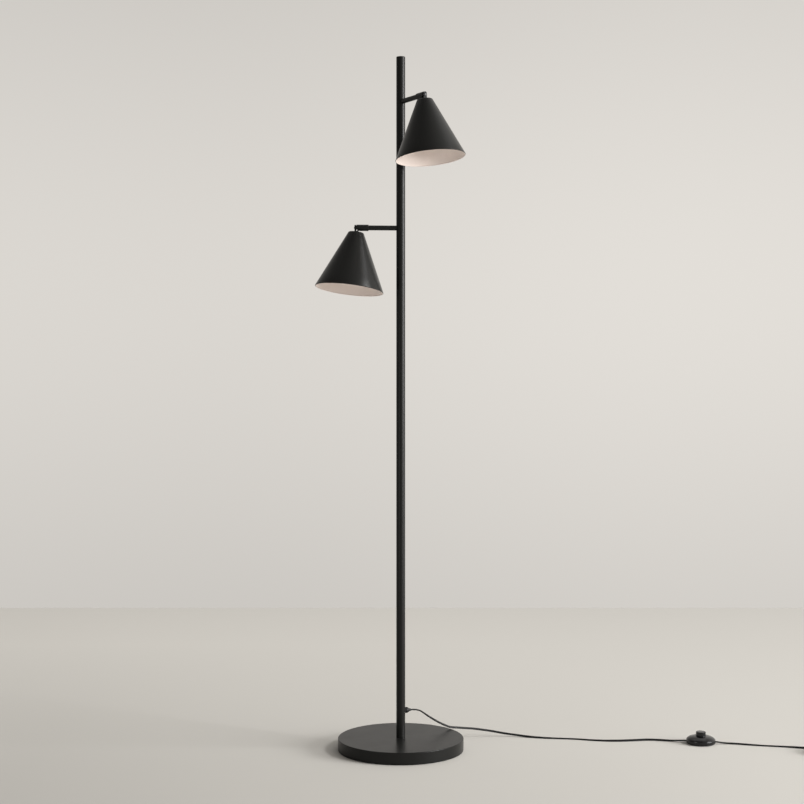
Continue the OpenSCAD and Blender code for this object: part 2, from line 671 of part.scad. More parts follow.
module switch_cover() color(PLASTIC) on_switch() difference() {
    dome_r = switch_r - dome_centre;
    dome_h = switch_h - shoulder_z;
    hole_r = button_r + button_gap;
    collar_r = hole_r + collar_t;
    hole_a = acos((hole_r - dome_centre) / dome_r);
    inner_a = acos((collar_r - dome_centre) / (dome_r - switch_wall));
    union() {
        rotate_extrude() polygon(concat(
            [[switch_r - switch_wall, seam_z], [switch_r, seam_z]],
            [for (i = [0:10]) let (a = hole_a * i / 10)
                [dome_centre + dome_r * cos(a), shoulder_z + dome_h * sin(a)]],
            [[hole_r, guide_z], [collar_r, guide_z]],
            [for (i = [10:-1:0]) let (a = inner_a * i / 10) [
                dome_centre + (dome_r - switch_wall) * cos(a),
                shoulder_z + (dome_h - switch_wall) * sin(a)]]));
        at_bosses() translate([0, 0, floor_t]) cylinder(r = boss_r, h = boss_top - floor_t);
    }
    cord_slots();
    at_bosses() translate([0, 0, screw_recess_h]) cylinder(r = cover_screw_r, h = cover_screw_l + 1);
}

module switch_block() color(PALE) on_switch() {
    translate([-block_l / 2, -block_w / 2, floor_t]) cube([block_l, block_w, block_z - floor_t]);
    translate([0, 0, block_z]) cylinder(r = block_seat_r, h = block_top - block_z);
    translate([0, 0, block_top]) cylinder(r = block_pin_r, h = block_pin_l);
}

// a compression spring between the block and the button's ceiling
module switch_spring() color(STEEL) on_switch() {
    z0 = block_top + spring_wire;
    z1 = button_top - button_wall - spring_wire;
    turns = 5;
    per_turn = 14;
    sides = 6;
    n = turns * per_turn;
    swept([for (i = [0:n]) let (a = 360 * i / per_turn) [for (k = [0:sides - 1])
        let (b = -360 * k / sides, r = spring_r + spring_wire * cos(b))
        [r * cos(a), r * sin(a), z0 + (z1 - z0) * i / n + spring_wire * sin(b)]]]);
}

module cord_clamps() color(STEEL) on_switch() for (x = [-clamp_x, clamp_x])
    translate([x, 0, cord_z + cord_t / 2]) difference() {
        translate([-clamp_w / 2, -clamp_l / 2, 0]) cube([clamp_w, clamp_l, clamp_t]);
        for (y = [-clamp_y, clamp_y]) translate([0, y, -1]) cylinder(r = clamp_screw_r, h = 4);
    }

module clamp_screws() color(STEEL) on_switch() at_posts() translate([0, 0, cord_z + cord_t / 2 + clamp_t]) {
    translate([0, 0, -clamp_screw_l]) cylinder(r = clamp_screw_r, h = clamp_screw_l);
    cylinder(r = clamp_head_r, h = clamp_head_h);
}

module cover_screws() color(STEEL) on_switch() at_bosses() {
    translate([0, 0, 0.2]) cylinder(r = screw_recess_r - 0.1, h = screw_recess_h - 0.2);
    translate([0, 0, screw_recess_h]) cylinder(r = cover_screw_r, h = cover_screw_l);
}

module switch_button() color(PLASTIC) on_switch() rotate_extrude() polygon(concat(
    [[button_r - button_wall, button_foot], [button_flange_r, button_foot],
        [button_flange_r, button_foot + flange_t], [button_r, button_foot + flange_t]],
    arc(button_r - button_edge_r, button_top - button_edge_r, button_edge_r, 0, 90, 5),
    [[0, button_top], [0, button_top - button_wall], [button_r - button_wall, button_top - button_wall]]));

// ---- lead, coil and plug ----

module lamp_cord() color(PLASTIC) cord_tube(lamp_route);
module plug_cord() color(PLASTIC) cord_tube(plug_route);
module plug_tail() color(PLASTIC) cord_tube(tail_route);

// the outline of the coiled turns, grown by g
module coil_outline(g) {
    c = coil_corner + g;
    x = [coil_r[0] - g, coil_r[1] + g];
    z = [coil_z[0] - g, coil_z[1] + g];
    polygon(concat(
        arc(x[1] - c, z[0] + c, c, -90, 0, 3), arc(x[1] - c, z[1] - c, c, 0, 90, 3),
        arc(x[0] + c, z[1] - c, c, 90, 180, 3), arc(x[0] + c, z[0] + c, c, 180, 270, 3)));
}

module cord_coil() color(PLASTIC) translate([coil_at.x, coil_at.y, 0]) rotate_extrude() coil_outline(0);

module coil_tie() color(PLASTIC) translate([coil_at.x, coil_at.y, 0]) rotate([0, 0, -90 - tie_angle / 2])
    rotate_extrude(angle = tie_angle) difference() {
        coil_outline(tie_t);
        coil_outline(0);
    }

// the plug's frame: X from the relief's thin end towards the pins
module on_plug() translate([plug_at.x, plug_at.y, plug_axis_z]) rotate([0, 0, plug_turn]) children();

module plug_relief() color(PLASTIC) on_plug() difference() {
    turned_x([[0, 0], [0, relief_r[0]], [relief_end, relief_r[1]], [relief_end, 0]]);
    for (i = [0:groove_count - 1]) translate([groove_t * 2 + groove_step * i, 0, 0]) rotate([0, 90, 0])
        ring(relief_r[0] + groove_rise * (i - 1), 2 * relief_r[1], 0, groove_t);
}

// a slice of the plug's flattened hexagon: half widths across its points and its flats, and half height
module plug_slice(x, l, point, flat, high) translate([x, 0, 0]) rotate([90, 0, 90]) linear_extrude(l)
    polygon([for (s = [[1, 1], [-1, 1], [-1, -1], [1, -1]], k = s.x * s.y > 0 ? [0, 1] : [1, 0])
        [s.x * (k == 0 ? point : flat), s.y * (k == 0 ? plug_side * high : high)]]);

module plug_body() color(PLASTIC) on_plug() hull() {
    plug_slice(relief_end, 0.5, plug_back[0], plug_back[1], plug_back[2]);
    plug_slice(relief_end + plug_taper_l, plug_l - plug_taper_l - 1, plug_waist[0], plug_waist[1],
        plug_axis_z);
    plug_slice(relief_end + plug_l - 1, 1, plug_front[0], plug_front[1], plug_axis_z - 0.6);
}

module at_pins() on_plug() for (y = [-pin_gap / 2, pin_gap / 2])
    translate([relief_end + plug_l, y, 0]) children();

module pin_sleeves() color(PLASTIC) at_pins() rotate([0, 90, 0])
    ring(pin_core_r, pin_sleeve_r, 0, pin_sleeve_l);

module plug_pins() color(BRASS) at_pins() turned_x([
    [0, 0], [0, pin_core_r], [pin_sleeve_l, pin_core_r], [pin_sleeve_l, pin_r],
    [pin_l - 1, pin_r], [pin_l, pin_r - 0.8], [pin_l, 0]]);

// ---- the pieces ----

floor_pad();
base_weight();
base_cover();
base_washer();
base_bolt();
pole_foot();
lower_pole();
pole_coupler();
upper_pole();
pole_cap();
on_lower_arm() arm_anchor();  // lower_arm_anchor
on_lower_arm() arm_tube();  // lower_arm
on_lower_arm() arm_sleeve();  // lower_sleeve
on_lower_arm() arm_lead(lower_arm_z);  // lower_arm_lead
on_upper_arm() arm_anchor();  // upper_arm_anchor
on_upper_arm() arm_tube();  // upper_arm
on_upper_arm() arm_sleeve();  // upper_sleeve
on_upper_arm() arm_lead(upper_arm_z);  // upper_arm_lead
both_arms() friction_washer();  // swivel_washers
both_arms() swivel_screw();  // swivel_screws
cord_gland();
entry_lead();
lead_connector();
lower_head() swivel();  // lower_swivel
lower_head() shade();  // lower_shade
lower_head() locknut();  // lower_locknut
lower_head() holder_cap();  // lower_holder_cap
lower_head() holder_body();  // lower_holder_body
lower_head() contacts();  // lower_contacts
lower_head() bulb_cap();  // lower_bulb_cap
lower_head() bulb_globe();  // lower_bulb_globe
lower_head() shade_lead();  // lower_shade_lead
upper_head() swivel();  // upper_swivel
upper_head() shade();  // upper_shade
upper_head() locknut();  // upper_locknut
upper_head() holder_cap();  // upper_holder_cap
upper_head() holder_body();  // upper_holder_body
upper_head() contacts();  // upper_contacts
upper_head() bulb_cap();  // upper_bulb_cap
upper_head() bulb_globe();  // upper_bulb_globe
upper_head() shade_lead();  // upper_shade_lead
switch_base();
switch_cover();
switch_block();
switch_spring();
cord_clamps();
clamp_screws();
cover_screws();
switch_button();
lamp_cord();
plug_cord();
cord_coil();
coil_tie();
plug_tail();
plug_relief();
plug_body();
pin_sleeves();
plug_pins();
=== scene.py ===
import json
import math

import bmesh
import bpy
from bpy.props import FloatProperty, PointerProperty, StringProperty
from mathutils import Matrix, Vector


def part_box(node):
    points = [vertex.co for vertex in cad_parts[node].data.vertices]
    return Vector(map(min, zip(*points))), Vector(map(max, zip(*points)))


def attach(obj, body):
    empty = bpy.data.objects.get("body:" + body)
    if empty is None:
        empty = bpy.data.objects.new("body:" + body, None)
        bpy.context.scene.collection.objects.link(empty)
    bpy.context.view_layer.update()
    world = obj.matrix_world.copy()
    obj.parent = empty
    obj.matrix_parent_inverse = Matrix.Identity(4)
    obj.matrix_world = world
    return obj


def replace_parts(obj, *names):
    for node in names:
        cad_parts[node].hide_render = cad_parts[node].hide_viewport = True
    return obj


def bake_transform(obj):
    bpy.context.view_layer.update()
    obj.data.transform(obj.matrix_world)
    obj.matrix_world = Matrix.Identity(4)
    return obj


bl_info = {
    "name": "Two-arm floor lamp",
    "version": (1, 0, 0),
    "blender": (4, 5, 0),
    "location": "View3D > Sidebar > Lamp",
    "description": "Finishes, shades, lead and studio of a two-arm floor lamp",
    "category": "Add Mesh",
}

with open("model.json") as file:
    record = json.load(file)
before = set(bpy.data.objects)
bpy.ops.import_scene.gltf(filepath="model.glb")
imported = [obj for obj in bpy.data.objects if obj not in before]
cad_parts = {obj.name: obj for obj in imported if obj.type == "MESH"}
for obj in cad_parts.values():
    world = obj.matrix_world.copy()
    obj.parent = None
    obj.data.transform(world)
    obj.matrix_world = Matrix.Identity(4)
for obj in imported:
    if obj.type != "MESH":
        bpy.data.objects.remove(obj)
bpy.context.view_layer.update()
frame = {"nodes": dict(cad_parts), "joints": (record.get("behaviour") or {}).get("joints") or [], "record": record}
JOINTS = {joint["name"]: joint for joint in frame["joints"]}
SLOT_OF = {part["node"]: part["material_slot"] for part in frame["record"]["subparts"]}
UP = Vector((0, 0, 1))
SIDES = ("lower", "upper")
SHARP_EDGE = math.radians(32)  # a bend this sharp shows as an edge
WIRE_FACETS = 8

# The lead's routes: x, y and height of its underside in metres, and its roll in degrees, where 0 lies flat.
LAMP_ROUTE = [
    (0.02211, 0.00634, 0.0855, 0), (0.02595, 0.00744, 0.0855, 0), (0.034, 0.0123, 0.0842, 5),
    (0.044, 0.023, 0.079, 20), (0.056, 0.036, 0.068, 40), (0.070, 0.049, 0.056, 55),
    (0.085, 0.062, 0.0445, 60), (0.100, 0.073, 0.035, 60), (0.113, 0.0825, 0.0282, 60),
    (0.128, 0.091, 0.025, 60), (0.145, 0.099, 0.022, 60), (0.165, 0.107, 0.0188, 60),
    (0.187, 0.1135, 0.0148, 60), (0.210, 0.1175, 0.0106, 60), (0.238, 0.1185, 0.0054, 60),
    (0.269, 0.115, 0.0018, 55), (0.300, 0.106, 0.0002, 40), (0.335, 0.098, 0, 15),
    (0.370, 0.0935, 0, 0), (0.405, 0.088, 0, 0), (0.435, 0.0785, 0, 10), (0.465, 0.0715, 0, 30),
    (0.495, 0.0695, 0, 60), (0.530, 0.0735, 0, 70), (0.562, 0.079, 0, 70), (0.590, 0.0765, 0, 50),
    (0.615, 0.0705, 0.0006, 20), (0.635, 0.0645, 0.0024, 0), (0.6485, 0.060, 0.0035, 0),
    (0.660, 0.0576, 0.0035, 0), (0.6716, 0.0556, 0.0035, 0),
]
PLUG_ROUTE = [
    (0.6894, 0.0524, 0.0035, 0), (0.701, 0.0504, 0.0035, 0), (0.7125, 0.0484, 0.0035, 0),
    (0.724, 0.047, 0.0024, 0), (0.738, 0.047, 0.0006, 10), (0.755, 0.0445, 0, 20),
    (0.775, 0.0385, 0, 20), (0.796, 0.032, 0, 10), (0.825, 0.0255, 0, 0), (0.853, 0.0195, 0, 5),
    (0.880, 0.0115, 0, 25), (0.902, 0.004, 0.0001, 50), (0.920, -0.0015, 0.0005, 75),
    (0.935, -0.004, 0.0009, 90),
]
TAIL_ROUTE = [
    (0.96323, -0.0203, 0.0061, 90), (0.9677, -0.0281, 0.006, 75), (0.9722, -0.0359, 0.0058, 50),
    (0.9767, -0.0438, 0.00555, 25), (0.9806, -0.051, 0.0054, 8), (0.9827, -0.0572, 0.00535, 0),
    (0.983, -0.062, 0.00535, 0),
]
# The coil's turns: degrees turned clockwise from its far side, column counted inwards, layer counted up.
COIL_STATIONS = [
    (0, 0, 0), (300, 0, 0), (360, 1, 0), (660, 1, 0), (720, 2, 0), (960, 2, 0), (1020, 2, 1),
    (1260, 2, 1), (1320, 1, 1), (1620, 1, 1), (1680, 0, 1), (1860, 0, 1),
]
ROUTE_STEP = 0.0025  # between the swept lead's rings
COIL_STEP = 6        # degrees between the rings of the coil
TURN_GAP = 0.0002    # between two turns of the coil

# The soft lights: name, place, the point it is aimed at, width, height and power in watts.
SOFT_BOXES = [
    ("key_soft_box", (9.2, -2.64, 2.8), (0, 0, 1.2), 4.4, 2.2, 728),
    ("high_soft_box", (9.2, -2.64, 8.0), (0, 0, 1.2), 4.4, 2.2, 564),
    ("low_soft_box", (8.6, -4.2, 1.0), (0, 0, 1.2), 6.0, 1.6, 348),
    ("left_soft_box", (-1.7, -1.9, 0.5), (0, 0, 1.1), 1.2, 0.9, 7),
    ("top_soft_box", (0.2, 1.1, 3.3), (0.2, 1.1, 0), 3.4, 2.4, 15),
]


# ---- what a user would change ----

class LampSizes(bpy.types.PropertyGroup):
    """Sizes of the pieces that are made here."""

    shade_top: FloatProperty(
        name="Shade top", description="Diameter of a shade's flat top", default=0.034, unit="LENGTH")
    shade_mouth: FloatProperty(
        name="Shade mouth", description="Diameter of a shade's mouth", default=0.1534, unit="LENGTH")
    shade_height: FloatProperty(
        name="Shade height", description="Height of a shade along its axis", default=0.1294, unit="LENGTH")
    shade_wall: FloatProperty(
        name="Shade wall", description="Sheet thickness of a shade", default=0.001, unit="LENGTH")
    shade_lean: FloatProperty(
        name="Shade lean", description="Angle by which a shade leans away from the pole",
        default=math.radians(7), unit="ROTATION")
    neck_drop: FloatProperty(
        name="Neck drop", description="How far a shade's top hangs below its arm's axis",
        default=0.0108, unit="LENGTH")
    neck_out: FloatProperty(
        name="Neck out", description="How far the neck stands past the sleeve's end",
        default=0.0007, unit="LENGTH")
    lead_width: FloatProperty(
        name="Lead width", description="Width of the flat lead", default=0.005, unit="LENGTH")
    lead_thickness: FloatProperty(
        name="Lead thickness", description="Thickness of the flat lead", default=0.003, unit="LENGTH")
    inner_lead: FloatProperty(
        name="Inner lead", description="Diameter of the leads inside the arms", default=0.003, unit="LENGTH")
    coil_radius: FloatProperty(
        name="Coil radius", description="Radius of the coil's outermost turn, at the lead's middle",
        default=0.0326, unit="LENGTH")
    plug_length: FloatProperty(
        name="Plug length", description="Length of the plug's body", default=0.037, unit="LENGTH")


class LampColours(bpy.types.PropertyGroup):
    """Colours of the finishes, as sRGB hex values."""

    powder_coat: StringProperty(
        name="Powder coat", description="Pole, arms, swivels, base and shades", default="#1B1B1A")
    lining: StringProperty(name="Shade lining", description="Inside of the shades", default="#F4E7E0")
    gloss_plastic: StringProperty(name="Foot switch", description="Foot switch", default="#0E0E0F")
    matt_plastic: StringProperty(
        name="Matt plastic", description="Gland, plug and lampholders", default="#141415")
    lead: StringProperty(name="Lead", description="Sheath of the leads", default="#0B0B0C")
    zinc: StringProperty(
        name="Zinc plating", description="Bolts, nuts, clamps and spring", default="#B9BCC2")
    phosphate: StringProperty(
        name="Phosphate", description="Rims of the swivels' friction washers", default="#5A5A5D")
    ground_steel: StringProperty(
        name="Ground steel", description="Faces of the swivels' friction washers", default="#DCDCDF")
    black_oxide: StringProperty(
        name="Black oxide", description="Screws of the swivels", default="#111112")
    cast_iron: StringProperty(name="Cast iron", description="Weight in the base", default="#5A5A5C")
    foam: StringProperty(name="Foam", description="Pad under the base", default="#1B1B1C")
    nickel: StringProperty(name="Nickel", description="Plug pins, bulb caps and contacts", default="#D8D0BF")
    nylon: StringProperty(name="Nylon", description="Connector and contact block", default="#E3E0D8")
    opal: StringProperty(name="Opal glass", description="Bulbs", default="#F4F1EA")


class StudioSettings(bpy.types.PropertyGroup):
    """The camera, the floor, the wall and the light of the room."""

    lens: FloatProperty(name="Lens", description="Focal length in millimetres", default=66.36)
    distance: FloatProperty(
        name="Distance", description="Camera to the pole", default=3.307, unit="LENGTH")
    height: FloatProperty(
        name="Height", description="Height of the camera", default=0.824, unit="LENGTH")
    aside: FloatProperty(
        name="Aside", description="Camera to the right of the pole", default=0.0028, unit="LENGTH")
    shift: FloatProperty(name="Shift", description="Vertical shift of the lens", default=-0.02736)
    floor_depth: FloatProperty(
        name="Floor depth", description="The pole to the floor's far edge", default=2.05, unit="LENGTH")
    floor_front: FloatProperty(
        name="Floor front", description="The pole to the floor's near edge", default=3.4, unit="LENGTH")
    floor_left: FloatProperty(
        name="Floor left", description="The pole to the floor's left edge", default=3.4, unit="LENGTH")
    floor_right: FloatProperty(
        name="Floor right", description="The pole to the floor's right edge", default=2.8, unit="LENGTH")
    floor: StringProperty(name="Floor", description="Colour of the floor", default="#CFCCC6")
    wall: StringProperty(name="Wall", description="Colour behind the lamp", default="#E0DCD6")
    from_right: FloatProperty(name="From the right", description="Room light from the right", default=1.07)
    from_back: FloatProperty(name="From the back", description="Room light from the wall", default=0.39)
    from_above: FloatProperty(name="From above", description="Room light from the ceiling", default=0.17)
    gloss_share: FloatProperty(
        name="Wall in gloss", description="How much of the wall a glossy surface shows", default=0.48)


# ---- helpers ----

def linear(colour):
    """An sRGB hex colour as linear red, green, blue and alpha."""
    parts = [int(colour[i:i + 2], 16) / 255 for i in (1, 3, 5)]
    return (*[p / 12.92 if p <= 0.04045 else ((p + 0.055) / 1.055) ** 2.4 for p in parts], 1.0)


def per_metre(millimetres):
    """A texture scale whose features are this many millimetres apart."""
    return 1000 / millimetres


def add_node(tree, kind, settings=(), inputs=(), links=()):
    """Add a shader node, with its properties, input values and links from (node, output) pairs."""
    made = tree.nodes.new("ShaderNode" + kind)
    for name, value in dict(settings).items():
        setattr(made, name, value)
    for name, value in dict(inputs).items():
        made.inputs[name].default_value = value
    for name, (source, output) in dict(links).items():
        tree.links.new(source.outputs[output], made.inputs[name])
    return made


def start_material(name, values):
    """A material with values on its shader's sockets. Returns it, its tree, shader and coordinates."""
    material = bpy.data.materials.new(name)
    material.use_nodes = True
    tree = material.node_tree
    shader = tree.nodes["Principled BSDF"]
    for socket, value in values.items():
        shader.inputs[socket].default_value = value
    return material, tree, shader, add_node(tree, "TexCoord")


def vary_gloss(tree, shader, pattern, roughness):
    """Let a pattern move a shader's roughness between its lowest and its highest value."""
    low, high = roughness
    span = add_node(tree, "MapRange", inputs={"To Min": low, "To Max": high}, links={"Value": (pattern, 0)})
    tree.links.new(span.outputs["Result"], shader.inputs["Roughness"])


def raise_surface(tree, shader, pattern, depth, strength):
    """Raise a pattern from a surface by depth millimetres, of which strength is the share that shows."""
    bump = add_node(tree, "Bump", inputs={"Distance": depth / 1000, "Strength": strength},
                    links={"Height": (pattern, 0)})
    tree.links.new(bump.outputs["Normal"], shader.inputs["Normal"])


def clouded(name, values, spacing, detail, roughness, depth, strength):
    """A material on which clouds, spacing millimetres apart, move the gloss and raise the surface."""
    material, tree, shader, place = start_material(name, values)
    cloud = add_node(tree, "TexNoise", inputs={"Scale": per_metre(spacing), "Detail": detail},
                     links={"Vector": (place, "Object")})
    vary_gloss(tree, shader, cloud, roughness)
    raise_surface(tree, shader, cloud, depth, strength)
    return material


def make_piece(name, bm, body, slot, *more_finishes):
    """Turn a bmesh into a smooth shaded piece with its slot's finish first, then any more finishes.

    It rides on a body, or on none.
    """
    mesh = bpy.data.meshes.new(name)
    bmesh.ops.recalc_face_normals(bm, faces=bm.faces)
    bm.to_mesh(mesh)
    bm.free()
    mesh.shade_smooth()
    mesh.set_sharp_from_angle(angle=SHARP_EDGE)
    for material in (finish_of(slot), *more_finishes):
        mesh.materials.append(material)
    piece = bpy.data.objects.new(name, mesh)
    bpy.context.scene.collection.objects.link(piece)
    if body:
        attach(piece, body)
    return piece


def bridge(bm, rings, closed=False):
    """Join rings of vertices by quads. Returns the strips of faces, one for each pair of rings."""
    pairs = list(zip(rings, rings[1:])) + ([(rings[-1], rings[0])] if closed else [])
    count = len(rings[0])
    return [[bm.faces.new((a[k], a[(k + 1) % count], b[(k + 1) % count], b[k])) for k in range(count)]
            for a, b in pairs]


def solid_bar(bm, rings):
    """Join rings of vertices by quads and close both ends."""
    bridge(bm, rings)
    bm.faces.new(rings[0])
    bm.faces.new(reversed(rings[-1]))


def arc(centre, radius, start, end, steps):
    """Points of an arc, with its angles in degrees."""
    angles = [math.radians(start + (end - start) * i / steps) for i in range(steps + 1)]
    return [Vector((centre[0] + radius * math.cos(a), centre[1] + radius * math.sin(a))) for a in angles]


def circle(radius, count):
    """The points of a circle round the origin."""
    return arc((0, 0), radius, 0, 360, count)[:-1]


def ease(t):
    """A smooth step from 0 to 1."""
    return t * t * (3 - 2 * t)


def heading(path, i):
    """The direction of a line of points at one of them."""
    return (path[min(i + 1, len(path) - 1)] - path[max(i - 1, 0)]).normalized()


def stretches(points):
    """Each stretch of a row of points, with the point before it and the one after it."""
    ends = [points[0], *points, points[-1]]
    return zip(ends, ends[1:], ends[2:], ends[3:])


def between(a, b, c, d, t):
    """One number between b and c of a smooth curve through a, b, c and d."""
    return 0.5 * (2 * b + (c - a) * t + (2 * a - 5 * b + 4 * c - d) * t ** 2
                  + (3 * b - a - 3 * c + d) * t ** 3)


def smooth_points(stretch, count):
    """A number of points of a smooth curve, from a stretch's start to just short of its end."""
    return [tuple(between(*numbers, k / count) for numbers in zip(*stretch)) for k in range(count)]


def smooth_route(route, step):
    """The route with points about step apart, on a smooth curve through its own points."""
    points = []
    for stretch in stretches(route):
        count = max(1, round((Vector(stretch[2][:3]) - Vector(stretch[1][:3])).length / step))
        points += smooth_points(stretch, count)
    return [*points, route[-1]]


# ---- finishes ----

def powder_coat(colours):
    """Steel sprayed with polyester powder and baked: a satin skin with a fine orange peel."""
    material, tree, shader, place = start_material("satin_black_powder_coat", {
        "Base Color": linear(colours.powder_coat), "IOR": 1.25})
    # The peel of a real coat is 0.5 mm; it is drawn at 1.6 mm so that it shows.
    peel = add_node(tree, "TexNoise", inputs={"Scale": per_metre(1.6), "Detail": 3.0},
                    links={"Vector": (place, "Object")})
    cloud = add_node(tree, "TexNoise", inputs={"Scale": per_metre(45), "Detail": 2.0},
                     links={"Vector": (place, "Object")})
    vary_gloss(tree, shader, cloud, (0.27, 0.35))
    raise_surface(tree, shader, peel, depth=0.04, strength=0.5)
    return material


def electro_coat(colours):
    """Black paint laid on a small steel part in an electric bath: thin, even and duller than powder."""
    return clouded("dull_black_electro_coat", {"Base Color": linear(colours.powder_coat), "IOR": 1.3},
                   spacing=1.2, detail=2, roughness=(0.55, 0.68), depth=0.02, strength=0.5)


def baked_enamel(colours):
    """White baking enamel sprayed inside a shade: smooth, half gloss, a little warm."""
    return clouded("white_baking_enamel", {"Base Color": linear(colours.lining), "IOR": 1.5},
                   spacing=6, detail=2, roughness=(0.28, 0.36), depth=0.05, strength=0.4)


def gloss_abs(colours):
    """Injection-moulded ABS from a polished mould: a clean, glossy black."""
    return clouded("glossy_black_abs", {"Base Color": linear(colours.gloss_plastic), "IOR": 1.42},
                   spacing=9, detail=3, roughness=(0.13, 0.2), depth=0.03, strength=0.4)


def matt_pvc(colours):
    """PVC moulded in a spark-eroded mould: a matt black with a fine even grain."""
    material, tree, shader, place = start_material("matt_black_pvc", {
        "Base Color": linear(colours.matt_plastic), "IOR": 1.4})
    # The grain of a real mould is 0.1 mm; it is drawn at 0.7 mm so that it shows.
    grain = add_node(tree, "TexVoronoi", inputs={"Scale": per_metre(0.7)},
                     links={"Vector": (place, "Object")})
    vary_gloss(tree, shader, grain, (0.5, 0.66))
    raise_surface(tree, shader, grain, depth=0.05, strength=0.6)
    return material


def pvc_sheath(colours):
    """Extruded PVC sheath: satin black, with an unevenness that a finger feels and an eye hardly sees."""
    return clouded("satin_black_pvc_sheath", {"Base Color": linear(colours.lead), "IOR": 1.33},
                   spacing=2.5, detail=2, roughness=(0.48, 0.6), depth=0.04, strength=0.5)


def zinc_plating(colours):
    """Bright zinc-plated steel: a light metal with a soft, cloudy shine."""
    return clouded("bright_zinc_plated_steel", {"Base Color": linear(colours.zinc), "Metallic": 1.0},
                   spacing=1.2, detail=4, roughness=(0.24, 0.42), depth=0.02, strength=0.6)


def phosphate_coat(colours):
    """Zinc-phosphated and oiled steel: a dull mid grey of fine crystals, with hardly any shine."""
    # The crystals of a real coat are 0.02 mm; they are drawn at 0.4 mm so that they show.
    return clouded("zinc_phosphated_steel", {"Base Color": linear(colours.phosphate), "Metallic": 0.5},
                   spacing=0.4, detail=3, roughness=(0.5, 0.7), depth=0.01, strength=0.5)


def ground_steel(colours):
    """Steel ground flat and left bare: a bright metal with a silky grain."""
    # A real grinding's scratches are 0.05 mm apart; they are drawn as a grain of 0.6 mm so that it shows.
    return clouded("ground_steel", {"Base Color": linear(colours.ground_steel), "Metallic": 1.0},
                   spacing=0.6, detail=2, roughness=(0.3, 0.45), depth=0.01, strength=0.5)


def black_oxide(colours):
    """Hot-blackened and oiled steel: a thin deep black with a clear, soft highlight."""
    return clouded("black_oxide_steel", {"Base Color": linear(colours.black_oxide), "IOR": 1.6},
                   spacing=1.5, detail=2, roughness=(0.3, 0.42), depth=0.01, strength=0.4)


def sand_cast_iron(colours):
    """Grey iron as it leaves a sand mould: dull and pebbled, with darker patches."""
    material, tree, shader, place = start_material("sand_cast_iron", {
        "Metallic": 0.6, "Roughness": 0.68})
    # The grains of a real mould are 0.3 mm; they are drawn at 1.8 mm so that they show.
    sand = add_node(tree, "TexNoise", inputs={"Scale": per_metre(1.8), "Detail": 6.0},
                    links={"Vector": (place, "Object")})
    patch = add_node(tree, "TexNoise", inputs={"Scale": per_metre(30), "Detail": 3.0},
                     links={"Vector": (place, "Object")})
    bright = linear(colours.cast_iron)
    dark_share = 0.45
    mix = add_node(tree, "Mix", {"data_type": "RGBA"}, links={"Factor": (patch, 0)})
    mix.inputs["A"].default_value = bright
    mix.inputs["B"].default_value = (*[c * dark_share for c in bright[:3]], 1)
    tree.links.new(mix.outputs["Result"], shader.inputs["Base Color"])
    raise_surface(tree, shader, sand, depth=0.3, strength=0.8)
    return material


def eva_foam(colours):
    """Closed-cell EVA foam: dead matt, with the pits of its cut cells."""
    material, tree, shader, place = start_material("closed_cell_eva_foam", {
        "Base Color": linear(colours.foam), "Roughness": 0.92, "IOR": 1.45})
    cells = add_node(tree, "TexVoronoi", inputs={"Scale": per_metre(0.8)},
                     links={"Vector": (place, "Object")})
    raise_surface(tree, shader, cells, depth=0.2, strength=0.8)
    return material


def nickel_plate(colours):
    """Nickel-plated brass: a warm, bright metal with light wear from use."""
    return clouded("nickel_plated_brass", {"Base Color": linear(colours.nickel), "Metallic": 1.0},
                   spacing=1.5, detail=4, roughness=(0.16, 0.34), depth=0.01, strength=0.6)


def moulded_nylon(colours):
    """Natural nylon, injection moulded: off-white, satin and slightly cloudy."""
    return clouded("natural_nylon", {"Base Color": linear(colours.nylon), "IOR": 1.53,
                                     "Subsurface Weight": 0.1, "Subsurface Scale": 0.002},
                   spacing=4, detail=2, roughness=(0.4, 0.52), depth=0.03, strength=0.5)


def opal_glass(colours):
    """Blown glass with an opal coat inside: milky white under a clear gloss."""
    return clouded("opal_glass", {"Base Color": linear(colours.opal), "IOR": 1.5, "Coat Weight": 0.6,
                                  "Coat Roughness": 0.05},
                   spacing=8, detail=2, roughness=(0.3, 0.4), depth=0.04, strength=0.4)


FINISHES = {
    "black_powder_coat": powder_coat,
    "zinc_plated_steel": zinc_plating,
    "phosphated_steel": phosphate_coat,
    "blackened_steel": black_oxide,
    "grey_cast_iron": sand_cast_iron,
    "foam_pad": eva_foam,
    "glossy_black_plastic": gloss_abs,
    "matt_black_plastic": matt_pvc,
    "black_pvc_lead": pvc_sheath,
    "pale_thermoplastic": moulded_nylon,
    "nickel_plated_brass": nickel_plate,
    "opal_glass": opal_glass,
}
made_finishes = {}


def finish_of(slot):
    """The finish of a material slot, made once."""
    if slot not in made_finishes:
        made_finishes[slot] = FINISHES[slot](bpy.context.scene.lamp_colours)
    return made_finishes[slot]


# ---- the flat lead ----

def coil_turns(sizes):
    """The coil's turns as points of a route, on edge, in columns and layers beside and on each other."""
    low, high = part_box("cord_coil")
    centre = (low + high) / 2
    column = sizes.lead_thickness + TURN_GAP
    layer = sizes.lead_width + TURN_GAP
    bottom, on_edge = PLUG_ROUTE[-1][2:]
    points = []
    for (start, column_a, layer_a), (end, column_b, layer_b) in zip(COIL_STATIONS, COIL_STATIONS[1:]):
        count = round((end - start) / COIL_STEP)
        for k in range(count):
            t = ease(k / count)
            turned = math.radians(90 - start - (end - start) * k / count)
            radius = sizes.coil_radius - column * (column_a + (column_b - column_a) * t)
            height = bottom + layer * (layer_a + (layer_b - layer_a) * t)
            points.append((centre.x + radius * math.cos(turned), centre.y + radius * math.sin(turned),
                           height, on_edge))
    return points


